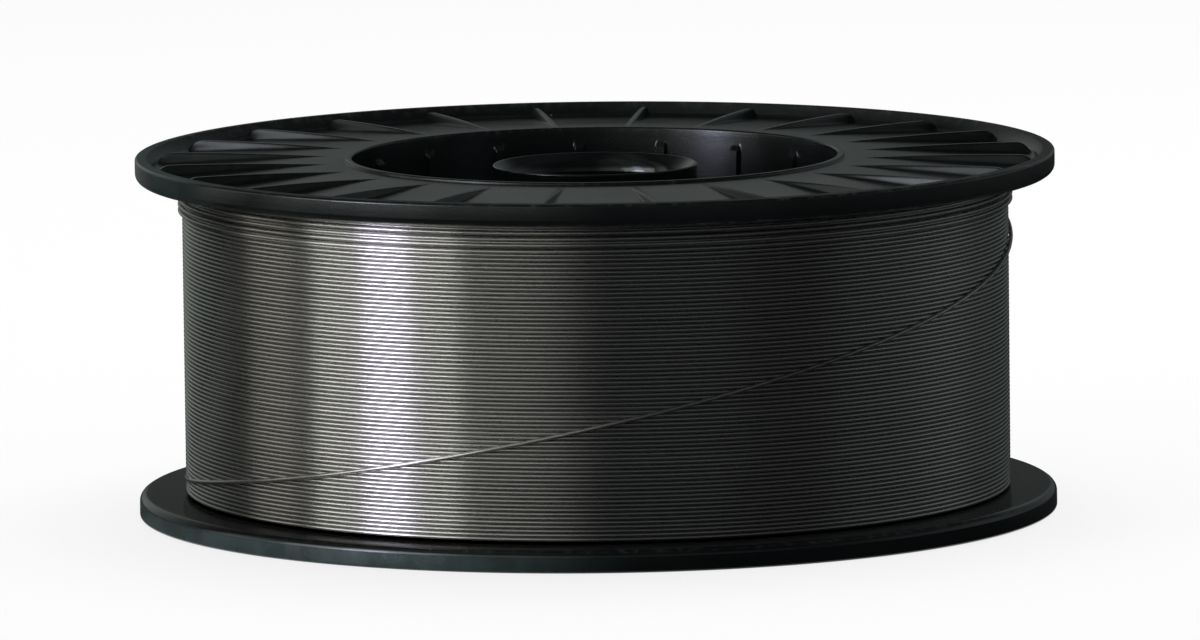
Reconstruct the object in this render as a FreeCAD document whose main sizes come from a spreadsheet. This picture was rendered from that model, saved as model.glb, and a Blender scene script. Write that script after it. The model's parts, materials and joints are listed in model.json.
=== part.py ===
import FreeCAD, Part
import math
import os
import re
import Sketcher

# A plastic spool wound with welding wire, lying on one flange.
# The frame's origin is the middle of the footprint, +Z runs up the spool's axis, and -Y is the front.
# Lengths are in millimetres and angles in degrees, counted from +X towards +Y.

# Driving dimensions: name, value, what it is
SIZES = [
    ("overall_width", 106.0, "from rim to rim along the axis"),
    ("flange_radius", 135.0, "outside of both flanges"),
    ("rim_wall", 3.5, "radial width of the raised rim"),
    ("rim_face", 6.8, "height of the rim's outside"),
    ("rim_step", 1.5, "rim stands proud of the mouth ring"),
    ("rim_bevel", 0.6, "broken edges of the rim"),
    ("panel_sink", 5.8, "panel below the rim's top, beside the rim"),
    ("rim_slope", 4.5, "slope that fills the corner between panel and rim, across and along"),
    ("flare_width", 15.0, "band beside the rim where the inner face falls away"),
    ("face_height", 8.4, "inner face above the floor where the flare starts"),
    ("mouth_radius", 71.3, "open mouth of the barrel"),
    ("mouth_bevel", 0.5, "broken edge of the mouth"),
    ("ring_width", 5.7, "flat ring round the mouth"),
    ("barrel_wall", 4.2, "barrel's wall at the mouth"),
    ("web_wall", 2.6, "web of one half"),
    ("hub_wall", 4.25, "wall of the hub"),
    ("hub_sink", 3.7, "hub's lip below the rim's top"),
    ("hub_bevel", 0.6, "broken edge of the hub's lip"),
    ("bore_radius", 25.75, "bore for the spindle"),
    ("lead_in", 2.25, "how far the bore widens at the hub's lip"),
    ("lead_in_depth", 3.0, "depth of the lead-in"),
    ("drive_radius", 5.0, "driving hole"),
    ("drive_offset", 44.5, "driving hole from the axis"),
    ("drive_wall", 3.0, "wall of the driving hole's boss"),
    ("drive_sink", 15.0, "boss below the rim's top"),
    ("rib_count", 24, "ribs on the outside of a flange"),
    ("rib_width", 1.9, "thickness of a flange rib"),
    ("rib_lead", 2.0, "from the mouth ring's edge out to a flange rib's start"),
    ("rib_gap", 3.0, "from a flange rib's end to the rim's inside"),
    ("rib_fall", 0.7, "how far a flange rib's top sinks towards the rim"),
    ("rib_end_bevel", 1.6, "slope of a flange rib's outer end"),
    ("rib_root", 1.0, "how deep a flange rib is rooted in the panel"),
    ("latch_count", 18, "short ribs on the barrel's inside"),
    ("latch_width", 3.0, "width of a short rib"),
    ("latch_proud", 1.4, "short rib stands in from the wall"),
    ("latch_sink", 4.4, "short rib's top below the mouth"),
    ("latch_turn", 6.3, "first short rib's angle"),
    ("spoke_count", 9, "deep ribs between hub and barrel"),
    ("spoke_width", 2.2, "thickness of a deep rib"),
    ("spoke_hub_height", 10.0, "deep rib's height on the web beside the hub"),
    ("spoke_wall_height", 6.0, "deep rib's height on the web beside the barrel"),
    ("wire_radius", 0.6, "half of the wire's thickness"),
    ("wire_pitch", 1.22, "from one turn to the next"),
    ("fill_gap", 13.65, "from the flange's outside in to the outside of the wound wire"),
    ("pack_gap", 0.2, "between the wound wire and the plastic"),
    ("last_turns", 5, "turns of the last, unfinished layer"),
    ("eye_radius", 1.5, "hole in the flange that holds the wire's end"),
    ("eye_angle", 165.0, "that hole's place round the flange"),
    ("run_clearance", 0.05, "between the last run of wire and the turns under it"),
    ("bend_radius", 2.2, "bend at the wire's end, on its centre line"),
]


def fill_sheet(doc):
    """Puts the driving dimensions into a spreadsheet, one row each."""
    sheet = doc.addObject("Spreadsheet::Sheet", "Sizes")
    for row, (name, size, meaning) in enumerate(SIZES, start=1):
        sheet.set(f"A{row}", name)
        sheet.set(f"B{row}", str(size))
        sheet.setAlias(f"B{row}", name)
        sheet.set(f"C{row}", meaning)
    doc.recompute()
    return sheet


def linked(formula):
    """A formula written with bare names, with each name pointing at the sheet."""
    names = "|".join(sorted((name for name, _, _ in SIZES), key=len, reverse=True))
    return re.sub(rf"\b({names})\b", r"Sizes.\1", formula)


def worth(sheet, formula):
    """The number that a formula gives."""
    return float(sheet.evalExpression(linked(formula)))


# Radii and heights that several features share
BARREL_RADIUS = "(mouth_radius + barrel_wall)"
HALF_WIDTH = "(overall_width / 2)"
WEB_FACE = f"({HALF_WIDTH} - web_wall)"
RIM_INSIDE = "(flange_radius - rim_wall)"
FLARE_START = "(flange_radius - flare_width)"
RING_RADIUS = "(mouth_radius + ring_width)"
RIB_START = f"({RING_RADIUS} + rib_lead)"
HUB_RADIUS = "(bore_radius + hub_wall)"
PACK_RADIUS = "(flange_radius - fill_gap)"
PANEL_SLOPE = f"((panel_sink - rim_step) / ({RIM_INSIDE} - {RING_RADIUS}))"


def panel_height(radius):
    """Formula of the panel's height above the floor at a radius."""
    return f"(rim_step + ({radius} - {RING_RADIUS}) * {PANEL_SLOPE})"


def origin_feature(body, role):
    return next(item for item in body.Origin.OriginFeatures if item.Role == role)


def add_sketch(body, name, plane, height=None, turn=None):
    """A sketch on one of the body's own origin planes.

    On XY_Plane a height lifts it; on XZ_Plane a turn swings it round the body's axis."""
    sketch = body.newObject("Sketcher::SketchObject", name)
    sketch.AttachmentSupport = [(origin_feature(body, plane), "")]
    sketch.MapMode = "FlatFace"
    if height is not None:
        sketch.setExpression("AttachmentOffset.Base.z", linked(height))
    if turn is not None:
        sketch.AttachmentOffset = FreeCAD.Placement(FreeCAD.Vector(), FreeCAD.Rotation(FreeCAD.Vector(0, 1, 0), 1))
        sketch.setExpression("AttachmentOffset.Rotation.Angle", linked(turn))
    return sketch


def fix_point(sketch, sheet, line, end, across, along):
    """Ties one end of a line to two formulas, measured from the sketch's origin."""
    for kind, formula in (("DistanceX", across), ("DistanceY", along)):
        rule = Sketcher.Constraint(kind, -1, 1, line, end, worth(sheet, formula))
        index = sketch.addConstraint(rule)
        sketch.setExpression(f"Constraints[{index}]", linked(formula))


def draw_outline(sketch, sheet, corners):
    """A closed outline of straight lines through corners given as pairs of formulas."""
    spots = [FreeCAD.Vector(worth(sheet, across), worth(sheet, along), 0) for across, along in corners]
    count = len(spots)
    for index in range(count):
        sketch.addGeometry(Part.LineSegment(spots[index], spots[(index + 1) % count]), False)
    for index in range(count):
        sketch.addConstraint(Sketcher.Constraint("Coincident", index, 2, (index + 1) % count, 1))
    for index, (across, along) in enumerate(corners):
        fix_point(sketch, sheet, index, 1, across, along)


def draw_circle(sketch, sheet, radius, across, along):
    """A circle whose centre and radius are formulas."""
    centre = FreeCAD.Vector(worth(sheet, across), worth(sheet, along), 0)
    circle = sketch.addGeometry(Part.Circle(centre, FreeCAD.Vector(0, 0, 1), worth(sheet, radius)), False)
    fix_point(sketch, sheet, circle, 3, across, along)
    index = sketch.addConstraint(Sketcher.Constraint("Radius", circle, worth(sheet, radius)))
    sketch.setExpression(f"Constraints[{index}]", linked(radius))


def revolve(body, sketch, name):
    """Turns a sketch once round its upright axis."""
    turned = body.newObject("PartDesign::Revolution", name)
    turned.Profile = sketch
    turned.ReferenceAxis = (sketch, ["V_Axis"])
    turned.Angle = 360
    sketch.Visibility = False
    return turned


def pad_both_ways(body, sketch, name, width):
    """A slab of the sketch, half of the width on each side of it."""
    pad = body.newObject("PartDesign::Pad", name)
    pad.Profile = sketch
    pad.SideType = "Symmetric"
    pad.setExpression("Length", linked(width))
    return pad


def repeat_round(body, feature, name, count):
    """Copies a feature round the body's axis."""
    pattern = body.newObject("PartDesign::PolarPattern", name)
    pattern.Originals = [feature]
    pattern.Axis = (origin_feature(body, "Z_Axis"), [""])
    pattern.Angle = 360
    pattern.setExpression("Occurrences", linked(count))
    body.Tip = pattern
    return pattern


def cut_through(body, sketch, name):
    """Cuts the sketch upwards through the whole body."""
    body.Document.recompute()
    before = body.Shape.Volume
    cut = body.newObject("PartDesign::Pocket", name)
    cut.Profile = sketch
    cut.Type = "ThroughAll"
    cut.Reversed = True
    body.Document.recompute()
    if body.Shape.Volume >= before:
        raise RuntimeError(f"{name} cuts nothing")
    return cut


def bevel_circles(body, sheet, base, name, size, rings):
    """Bevels the base's circular edges; each ring is a pair of formulas, radius and height."""
    body.Document.recompute()
    wanted = [(worth(sheet, ring), worth(sheet, height)) for ring, height in rings]
    edges = []
    for number, edge in enumerate(base.Shape.Edges, start=1):
        if not isinstance(edge.Curve, Part.Circle):
            continue
        found = (edge.Curve.Radius, edge.Curve.Center.z)
        if any(math.dist(found, spot) < 0.001 for spot in wanted):
            edges.append(f"Edge{number}")
    if len(edges) != len(rings):
        raise RuntimeError(f"{name} found {len(edges)} edges of {len(rings)}")
    bevel = body.newObject("PartDesign::Chamfer", name)
    bevel.Base = (base, edges)
    bevel.setExpression("Size", linked(size))
    body.Tip = bevel
    return bevel


# One half of the spool

def add_turned_form(body, sheet):
    """Flange, half barrel, half web and half hub as one turned section."""
    sketch = add_sketch(body, "Section", "XZ_Plane")
    hollow_start = f"({RIM_INSIDE} - rim_slope)"
    draw_outline(sketch, sheet, [
        ("mouth_radius", "rim_step"),
        (RING_RADIUS, "rim_step"),
        (hollow_start, panel_height(hollow_start)),
        (RIM_INSIDE, f"{panel_height(hollow_start)} - rim_slope"),
        (RIM_INSIDE, "0"),
        ("flange_radius", "0"),
        ("flange_radius", "rim_face"),
        (RIM_INSIDE, "rim_face"),
        (FLARE_START, "face_height"),
        (BARREL_RADIUS, "face_height"),
        (BARREL_RADIUS, HALF_WIDTH),
        ("bore_radius", HALF_WIDTH),
        ("bore_radius", "hub_sink + lead_in_depth"),
        ("bore_radius + lead_in", "hub_sink"),
        (HUB_RADIUS, "hub_sink"),
        (HUB_RADIUS, WEB_FACE),
        ("mouth_radius", WEB_FACE),
    ])
    turned = revolve(body, sketch, "TurnedForm")
    rim = bevel_circles(body, sheet, turned, "RimBevel", "rim_bevel", [
        ("flange_radius", "0"), ("flange_radius", "rim_face")])
    mouth = bevel_circles(body, sheet, rim, "MouthBevel", "mouth_bevel", [("mouth_radius", "rim_step")])
    return bevel_circles(body, sheet, mouth, "HubBevel", "hub_bevel", [(HUB_RADIUS, "hub_sink")])


def add_flange_ribs(body, sheet):
    """Thin ribs that start level with the mouth's ring and grow deeper towards the rim."""
    end = f"({RIM_INSIDE} - rib_gap)"
    sketch = add_sketch(body, "RibShape", "XZ_Plane", turn="180 / rib_count")
    draw_outline(sketch, sheet, [
        (RIB_START, "rim_step"),
        (f"{end} - rib_end_bevel", "rim_step + rib_fall"),
        (end, "rim_step + rib_fall + rib_end_bevel"),
        (end, f"{panel_height(end)} + rib_root"),
        (RIB_START, f"{panel_height(RIB_START)} + rib_root"),
    ])
    rib = pad_both_ways(body, sketch, "FlangeRib", "rib_width")
    return repeat_round(body, rib, "FlangeRibs", "rib_count")


def add_latches(body, sheet):
    """Short upright ribs on the barrel's inside, from just under the mouth down to the web."""
    top = "(rim_step + latch_sink)"
    sketch = add_sketch(body, "LatchShape", "XZ_Plane", turn="latch_turn")
    draw_outline(sketch, sheet, [
        ("mouth_radius - latch_proud", f"{top} + latch_proud"),
        ("mouth_radius + barrel_wall / 2", top),
        ("mouth_radius + barrel_wall / 2", HALF_WIDTH),
        ("mouth_radius - latch_proud", HALF_WIDTH),
    ])
    latch = pad_both_ways(body, sketch, "Latch", "latch_width")
    return repeat_round(body, latch, "Latches", "latch_count")


def add_spokes(body, sheet):
    """Deep ribs on the web that tie the hub to the barrel, one at every other short rib."""
    inside = "(bore_radius + hub_wall / 2)"
    sketch = add_sketch(body, "SpokeShape", "XZ_Plane", turn="latch_turn + 360 / latch_count")
    draw_outline(sketch, sheet, [
        (inside, f"{WEB_FACE} - spoke_hub_height"),
        ("mouth_radius + barrel_wall / 2", f"{WEB_FACE} - spoke_wall_height"),
        ("mouth_radius + barrel_wall / 2", HALF_WIDTH),
        (inside, HALF_WIDTH),
    ])
    spoke = pad_both_ways(body, sketch, "Spoke", "spoke_width")
    return repeat_round(body, spoke, "Spokes", "spoke_count")


def add_drive_hole(body, sheet):
    """A round boss on the web with the hole for the machine's driving pin."""
    ring = add_sketch(body, "BossShape", "XY_Plane", height="drive_sink")
    draw_circle(ring, sheet, "drive_radius + drive_wall", "drive_offset", "0")
    boss = body.newObject("PartDesign::Pad", "DriveBoss")
    boss.Profile = ring
    boss.setExpression("Length", linked(f"{HALF_WIDTH} - drive_sink"))
    hole = add_sketch(body, "DriveHoleShape", "XY_Plane")
    draw_circle(hole, sheet, "drive_radius", "drive_offset", "0")
    return cut_through(body, hole, "DriveHole")


def add_wire_eye(body, sheet):
    """A small hole through the flange, where the pack ends, that the wire's end is hooked into."""
    reach = f"({PACK_RADIUS} + wire_radius)"
    eye = add_sketch(body, "EyeShape", "XY_Plane")
    draw_circle(eye, sheet, "eye_radius", f"{reach} * cos(eye_angle * 1deg)", f"{reach} * sin(eye_angle * 1deg)")
    return cut_through(body, eye, "WireEye")


def make_half(doc, sheet, label):
    """One moulding, with its flange on the floor and its joint face upwards."""
    body = doc.addObject("PartDesign::Body", label.title().replace("_", ""))
    body.Label = label
    add_turned_form(body, sheet)
    add_flange_ribs(body, sheet)
    add_latches(body, sheet)
    add_spokes(body, sheet)
    add_drive_hole(body, sheet)
    add_wire_eye(body, sheet)
    return body


def turn_over(body):
    """Sets a half upside down on the other one, turned about the line of the driving hole."""
    body.Placement = FreeCAD.Placement(FreeCAD.Vector(), FreeCAD.Rotation(FreeCAD.Vector(1, 0, 0), 180))
    body.setExpression("Placement.Base.z", linked("overall_width"))


# The wire

def make_coil(doc, sheet):
    """The wound wire as one turned solid; its last, unfinished layer lies at the top."""
    body = doc.addObject("PartDesign::Body", "WireCoil")
    body.Label = "wire_coil"
    low = "(face_height + pack_gap)"
    high = f"(overall_width - {low})"
    inside = f"({BARREL_RADIUS} + pack_gap)"
    sketch = add_sketch(body, "PackSection", "XZ_Plane")
    draw_outline(sketch, sheet, [
        (inside, low),
        (PACK_RADIUS, low),
        (PACK_RADIUS, f"{high} - last_turns * wire_pitch"),
        (f"{PACK_RADIUS} + 2 * wire_radius", f"{high} - last_turns * wire_pitch"),
        (f"{PACK_RADIUS} + 2 * wire_radius", high),
        (inside, high),
    ])
    revolve(body, sketch, "Pack")
    return body


WIRE_FLATS = 8

# Route of the last run of wire: angle round the pack, and height as a share of the pack's width.
# It leaves the unfinished layer behind on the right, crosses the front and reaches the lower flange
# behind on the left.
RUN_ROUTE = [
    (35, 0.925), (20, 0.90), (5, 0.842), (-10, 0.772), (-25, 0.697), (-40, 0.622), (-55, 0.545),
    (-70, 0.465), (-85, 0.386), (-100, 0.308), (-115, 0.233), (-130, 0.169), (-145, 0.117),
    (-160, 0.068), (-175, 0.022), (-185, 0.008),
]


def rounded_path(corners, radii):
    """Straight runs through the corners, with a tangent arc of the given radius at each inner one."""
    edges = []
    start = corners[0]
    for before, corner, after, radius in zip(corners, corners[1:], corners[2:], radii):
        back = (before - corner).normalize()
        ahead = (after - corner).normalize()
        half_turn = (math.pi - back.getAngle(ahead)) / 2
        cut = radius * math.tan(half_turn)
        middle_way = (back + ahead).normalize()
        enter = corner + back * cut
        leave = corner + ahead * cut
        middle = corner + middle_way * (radius / math.cos(half_turn) - radius)
        if (enter - start).Length > 0.001:
            edges.append(Part.LineSegment(start, enter).toShape())
        edges.append(Part.Arc(enter, middle, leave).toShape())
        start = leave
    edges.append(Part.LineSegment(start, corners[-1]).toShape())
    return Part.Wire(edges)


def wire_section(centre, way, wire_radius):
    """The wire's section at the start of a path, with eight flats for its round."""
    side = way.cross(FreeCAD.Vector(0, 0, 1)).normalize()
    top = side.cross(way).normalize()
    corners = []
    for step in range(WIRE_FLATS + 1):
        turn = 2 * math.pi * (step + 0.5) / WIRE_FLATS
        corners.append(centre + side * (wire_radius * math.cos(turn)) + top * (wire_radius * math.sin(turn)))
    return Part.makePolygon(corners)


def make_wire_end(doc, sheet):
    """The last run of the wire, swept along its route, with its end bent into the flange's eye."""
    wire_radius = worth(sheet, "wire_radius")
    low = worth(sheet, "face_height + pack_gap")
    width = worth(sheet, "overall_width") - 2 * low
    centre_radius = worth(sheet, f"{PACK_RADIUS} + wire_radius + run_clearance")
    eye_radius = worth(sheet, f"{PACK_RADIUS} + wire_radius")
    eye_angle = math.radians(worth(sheet, "eye_angle"))
    route = [(math.radians(angle), low + wire_radius + share * (width - 2 * wire_radius)) for angle, share in RUN_ROUTE]
    corners = []
    for index, (angle, height) in enumerate(route):
        near = route[index - 1] if index else route[1]
        reach = centre_radius / math.cos((angle - near[0]) / 2)
        corners.append(FreeCAD.Vector(reach * math.cos(angle), reach * math.sin(angle), height))
    eye = FreeCAD.Vector(eye_radius * math.cos(eye_angle), eye_radius * math.sin(eye_angle), route[-1][1])
    corners.append(eye)
    corners.append(FreeCAD.Vector(eye.x, eye.y, worth(sheet, "rim_step + rib_fall")))
    radii = []
    for before, corner, after in zip(corners, corners[1:], corners[2:]):
        shorter = min((corner - before).Length, (after - corner).Length)
        half_turn = (math.pi - (before - corner).getAngle(after - corner)) / 2
        radii.append(0.45 * shorter / math.tan(half_turn))
    radii[-1] = worth(sheet, "bend_radius")
    print("bend radii of the last run", [round(radius, 1) for radius in radii])
    path = rounded_path(corners, radii)
    first_way = (corners[1] - corners[0]).normalize()
    section = wire_section(corners[0], first_way, wire_radius)
    swept = path.makePipeShell([section], True, False)
    area = Part.Face(section).Area
    print("volume over section times length", round(swept.Volume / (area * path.Length), 4))
    run = doc.addObject("Part::Feature", "WireEnd")
    run.Label = "wire_end"
    run.Shape = swept
    return run


def check(doc, pieces):
    """Stops when a feature has failed or a piece isn't one sound solid."""
    for item in doc.Objects:
        if any(word in item.State for word in ("Invalid", "Error")):
            raise RuntimeError(f"{item.Name} failed: {item.State}")
    for piece in pieces:
        shape = piece.Shape
        if shape.isNull() or not shape.isValid() or len(shape.Solids) != 1:
            raise RuntimeError(f"{piece.Label} isn't one sound solid")


def main():
    doc = FreeCAD.newDocument("WireSpool")
    sheet = fill_sheet(doc)
    lower = make_half(doc, sheet, "spool_lower_half")
    upper = make_half(doc, sheet, "spool_upper_half")
    turn_over(upper)
    pieces = [lower, upper, make_coil(doc, sheet), make_wire_end(doc, sheet)]
    doc.recompute()
    check(doc, pieces)
    os.makedirs("parts", exist_ok=True)
    for piece in pieces:
        box = piece.Shape.BoundBox
        piece.Shape.exportStep(f"parts/{piece.Label}.step")
        print(piece.Label, "volume", round(piece.Shape.Volume / 1000, 1), "cm3, height", round(box.ZMin, 2), round(box.ZMax, 2))


main()
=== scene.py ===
# %% [markdown]
# # A spool of welding wire
# The real object is a black moulded plastic spool, 270 mm across, wound full with bright steel wire and
# laid on one flange. Its frame, made elsewhere at its real size, holds four solids: two plastic halves,
# the coil as one plain ring, and the wire's last run. This lesson dresses them. Each new piece is a
# surface worked out with numpy on a grid, because a spool is turned, ribbed and wound, and all three are
# easy to say as a formula of an angle round the axis and a place along a section.

# %% Load the frame
import json
import math

import bpy
import numpy as np
from mathutils import Matrix, Vector


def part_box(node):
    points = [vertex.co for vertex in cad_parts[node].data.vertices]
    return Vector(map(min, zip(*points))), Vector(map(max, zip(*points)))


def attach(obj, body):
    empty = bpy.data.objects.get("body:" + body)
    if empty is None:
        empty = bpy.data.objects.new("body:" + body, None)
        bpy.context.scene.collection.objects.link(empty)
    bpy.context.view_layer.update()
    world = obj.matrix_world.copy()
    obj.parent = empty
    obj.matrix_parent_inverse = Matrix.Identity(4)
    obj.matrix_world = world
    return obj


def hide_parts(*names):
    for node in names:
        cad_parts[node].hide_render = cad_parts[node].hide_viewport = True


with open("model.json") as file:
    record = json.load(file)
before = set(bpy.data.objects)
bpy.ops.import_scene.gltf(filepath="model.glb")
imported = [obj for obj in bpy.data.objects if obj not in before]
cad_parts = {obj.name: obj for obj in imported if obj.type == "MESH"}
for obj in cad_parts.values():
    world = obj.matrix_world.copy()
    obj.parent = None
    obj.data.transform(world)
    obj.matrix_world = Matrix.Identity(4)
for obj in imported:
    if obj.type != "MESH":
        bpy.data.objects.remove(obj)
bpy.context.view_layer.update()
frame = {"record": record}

# %% [markdown]
# ## Sizes from the frame
# The pieces below must lie exactly where the solids are, so every size that the frame can give is read
# from it. Lengths are in millimetres here, since moulds and wires are drawn in millimetres, and they turn
# into metres when a mesh is made. One thing is given here: the photograph's pack reaches nearer to each
# rim than the plain ring does, so the pack's two ends lie further out here, by foot_drop.

# %% Read the sizes
MM = 0.001


def box_mm(node):
    """Lowest and highest corner of a solid, in millimetres."""
    low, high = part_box(node)
    return np.array(low) / MM, np.array(high) / MM


_, lower_high = box_mm("spool_lower_half")
_, upper_high = box_mm("spool_upper_half")
coil_low, coil_high = box_mm("wire_coil")

overall_width = float(upper_high[2])
flange_radius = float(lower_high[0])
joint_height = float(lower_high[2])
run_low, run_high = float(coil_low[2]), float(coil_high[2])
last_layer_radius = float(coil_high[0])
foot_drop = 2.0
pack_bottom, pack_top = run_low - foot_drop, run_high + foot_drop
bores = {
    mount["name"]: mount["dims"]["r_mm"]
    for mount in frame["record"]["mounts"] if mount["kind"] == "bore"
}
bore_radius = bores["spindle_bore"]
drive_radius = bores["driving_hole"]
print("width", overall_width, "flange radius", flange_radius)
print("pack from", pack_bottom, "to", pack_top, "outer radius", last_layer_radius)

# %% [markdown]
# ## Grids of points
# A surface on a grid is the easiest one to build well: two parameters, rows and columns, and a quad
# between each four neighbours. Every grid here closes on itself along its columns, and some along their
# rows as well, so there is no seam. Two flat ends close a tube. The mesh gets its numbers in one go,
# with no loop over vertices.

# %% A mesh from a grid
def grid_quads(rows, columns, close_rows=False):
    """Corner numbers of the quads between neighbours of a grid, wrapped round where it closes."""
    row, column = np.meshgrid(np.arange(rows if close_rows else rows - 1), np.arange(columns), indexing="ij")
    next_row = (row + 1) % rows
    next_column = (column + 1) % columns
    corners = np.stack([
        row * columns + column,
        row * columns + next_column,
        next_row * columns + next_column,
        next_row * columns + column,
    ], axis=-1)
    return corners.reshape(-1, 4)


def round_axis(radius, turn, height):
    """Points at a distance from the upright axis, an angle round it and a height; each may be an array."""
    radius, turn, height = np.broadcast_arrays(radius, turn, height)
    return np.stack([radius * np.cos(turn), radius * np.sin(turn), height], axis=-1)


def volume_of(points, quads):
    """Signed volume inside closed quads: each quad's two triangles form thin pyramids to the origin."""
    a, b, c, d = (points[quads[:, k]] for k in range(4))
    return float((np.cross(a, b) * c).sum() + (np.cross(a, c) * d).sum()) / 6


def make_mesh(name, points, quads, end_rings=(), uv=None):
    """A mesh object from points in millimetres; end rings become flat caps; faces are turned outwards."""
    points = np.asarray(points, dtype=np.float64).reshape(-1, 3) * MM
    if volume_of(points, quads) < 0:
        quads = quads[:, ::-1]
        end_rings = [ring[::-1] for ring in end_rings]
    loops = np.concatenate([quads.ravel(), *[np.asarray(ring) for ring in end_rings]]).astype(np.int32)
    totals = np.concatenate([np.full(len(quads), 4), [len(ring) for ring in end_rings]]).astype(np.int32)
    starts = np.concatenate([[0], np.cumsum(totals)[:-1]]).astype(np.int32)
    mesh = bpy.data.meshes.new(name)
    mesh.vertices.add(len(points))
    mesh.vertices.foreach_set("co", points.ravel())
    mesh.loops.add(len(loops))
    mesh.loops.foreach_set("vertex_index", loops)
    mesh.polygons.add(len(totals))
    mesh.polygons.foreach_set("loop_start", starts)
    mesh.polygons.foreach_set("loop_total", totals)
    mesh.update(calc_edges=True)
    mesh.validate()
    mesh.polygons.foreach_set("use_smooth", np.ones(len(mesh.polygons), dtype=bool))
    if uv is not None:
        layer = mesh.uv_layers.new(name="UVMap")
        layer.data.foreach_set("uv", np.asarray(uv)[loops].ravel())
    piece = bpy.data.objects.new(name, mesh)
    bpy.context.scene.collection.objects.link(piece)
    return piece


def triangles_of(piece):
    """How many triangles the piece's faces make: two fewer than corners, for each face."""
    return sum(len(polygon.vertices) - 2 for polygon in piece.data.polygons)


def keep_numbers(piece, name, values):
    """Stores one number for each point of the mesh, for a material to read by that name."""
    kept = piece.data.attributes.new(name, "FLOAT", "POINT")
    kept.data.foreach_set("value", np.asarray(values, dtype=np.float32).ravel())


# %% [markdown]
# ## The section of the moulding
# Both halves come out of one mould, so one surface serves twice. Its heart is a closed section, radius
# against height above the floor, that runs round once: mouth, ring, panel, hollow corner, rim, inner
# face, barrel, joint, bore, hub, web and back. Corners get real roundings, because a moulded edge always
# has one and it is the roundings that catch the light.

# %% Section sizes
rim_wall, rim_face, rim_step, rim_land_fall = 3.5, 6.8, 1.75, 0.15
rim_draft, draft_start, draft_round = 0.05, 3.0, 5.0
rim_foot_round, rim_round, back_round, lip_round, face_round = 0.5, 0.8, 2.2, 2.0, 6.0
rim_slope, hollow_round = 2.4, 2.0
panel_slope_angle, panel_start = math.radians(2.8), 85.0
flare_width, face_height = 15.0, pack_bottom - 0.2
mouth_radius, mouth_round, mouth_bead, bead_width, bead_round = 71.3, 0.6, 0.8, 1.9, 0.45
groove_lean, groove_width, groove_depth, groove_round, groove_edge_round = 0.2, 1.3, 0.3, 0.3, 0.9
ring_width, barrel_wall, barrel_foot_round, joint_round = 5.7, 4.2, 0.8, 0.1
web_wall, web_round, barrel_draft = 2.6, 1.0, 2.0
hub_wall, hub_sink, hub_round, bore_edge_round = 4.25, 3.7, 0.35, 0.2
lead_in, lead_in_depth, lead_in_round, lead_in_edge_round = 3.55, 3.4, 5.0, 0.3

rim_inside = flange_radius - rim_wall
panel_end = rim_inside - rim_slope
ring_radius = mouth_radius + ring_width
barrel_radius = mouth_radius + barrel_wall
barrel_inside = mouth_radius - barrel_draft
web_face = joint_height - web_wall
hub_radius = bore_radius + hub_wall
panel_sink = rim_step + (panel_end - panel_start) * math.tan(panel_slope_angle)
panel_round = (panel_start - ring_radius) / math.tan(panel_slope_angle / 2)
print("panel lies", round(panel_sink, 2), "mm deep beside the rim")

# %% [markdown]
# Ribs, latches and spokes will be raised on this surface, so its straight stretches need rows of their
# own where those features start, swell and end.

# %% Where extra rows lie
panel_rows = (96, 100, 105, 110, 114, 118, 121, 123.5, 125.2, 126.4, 127.3)
hub_rows = (8, 16, 24, 32, 38, 43, 47)
web_rows = (33, 38, 44, 50, 56, 62, 67)
barrel_rows = (46, 36, 26, 17, 12, 9, 7.4, 6.8, 6.4, 6.1, 5.8, 5.4, 4.6, 3.2)


def between(first, last, places):
    """Shares of the way from one number to another at which the given places lie."""
    return [(place - first) / (last - first) for place in places]


# %% Round the corners of an outline
def rounded_outline(corners):
    """Closed outline whose corners are arcs that touch both sides.

    A corner is (radius, height, rounding, steps in its arc, zone, shares): the shares are extra points on
    the way to the next corner. Gives the points and, for each, the zone of its corner."""
    points, zones = [], []
    for index, (r, z, rounding, steps, zone, shares) in enumerate(corners):
        here = np.array([r, z])
        ahead = np.array(corners[(index + 1) % len(corners)][:2]) - here
        to_next = ahead / np.linalg.norm(ahead)
        to_last = np.array(corners[index - 1][:2]) - here
        to_last = to_last / np.linalg.norm(to_last)
        half_turn = (math.pi - math.acos(np.clip(to_last @ to_next, -1, 1))) / 2
        middle = (to_last + to_next) / np.linalg.norm(to_last + to_next)
        centre = here + middle * rounding / math.cos(half_turn)
        cut = rounding * math.tan(half_turn)
        first, last = here + to_last * cut - centre, here + to_next * cut - centre
        share = np.linspace(0, 1, steps + 1)[:, None]
        arc = first * np.cos(share * math.pi / 2) ** 2 + last * np.sin(share * math.pi / 2) ** 2
        arc *= rounding / np.linalg.norm(arc, axis=1, keepdims=True)
        points += [centre + arc, here + ahead * np.array(shares).reshape(-1, 1)]
        zones += [zone] * (steps + 1 + len(shares))
    return np.concatenate(points), np.array(zones)


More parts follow.
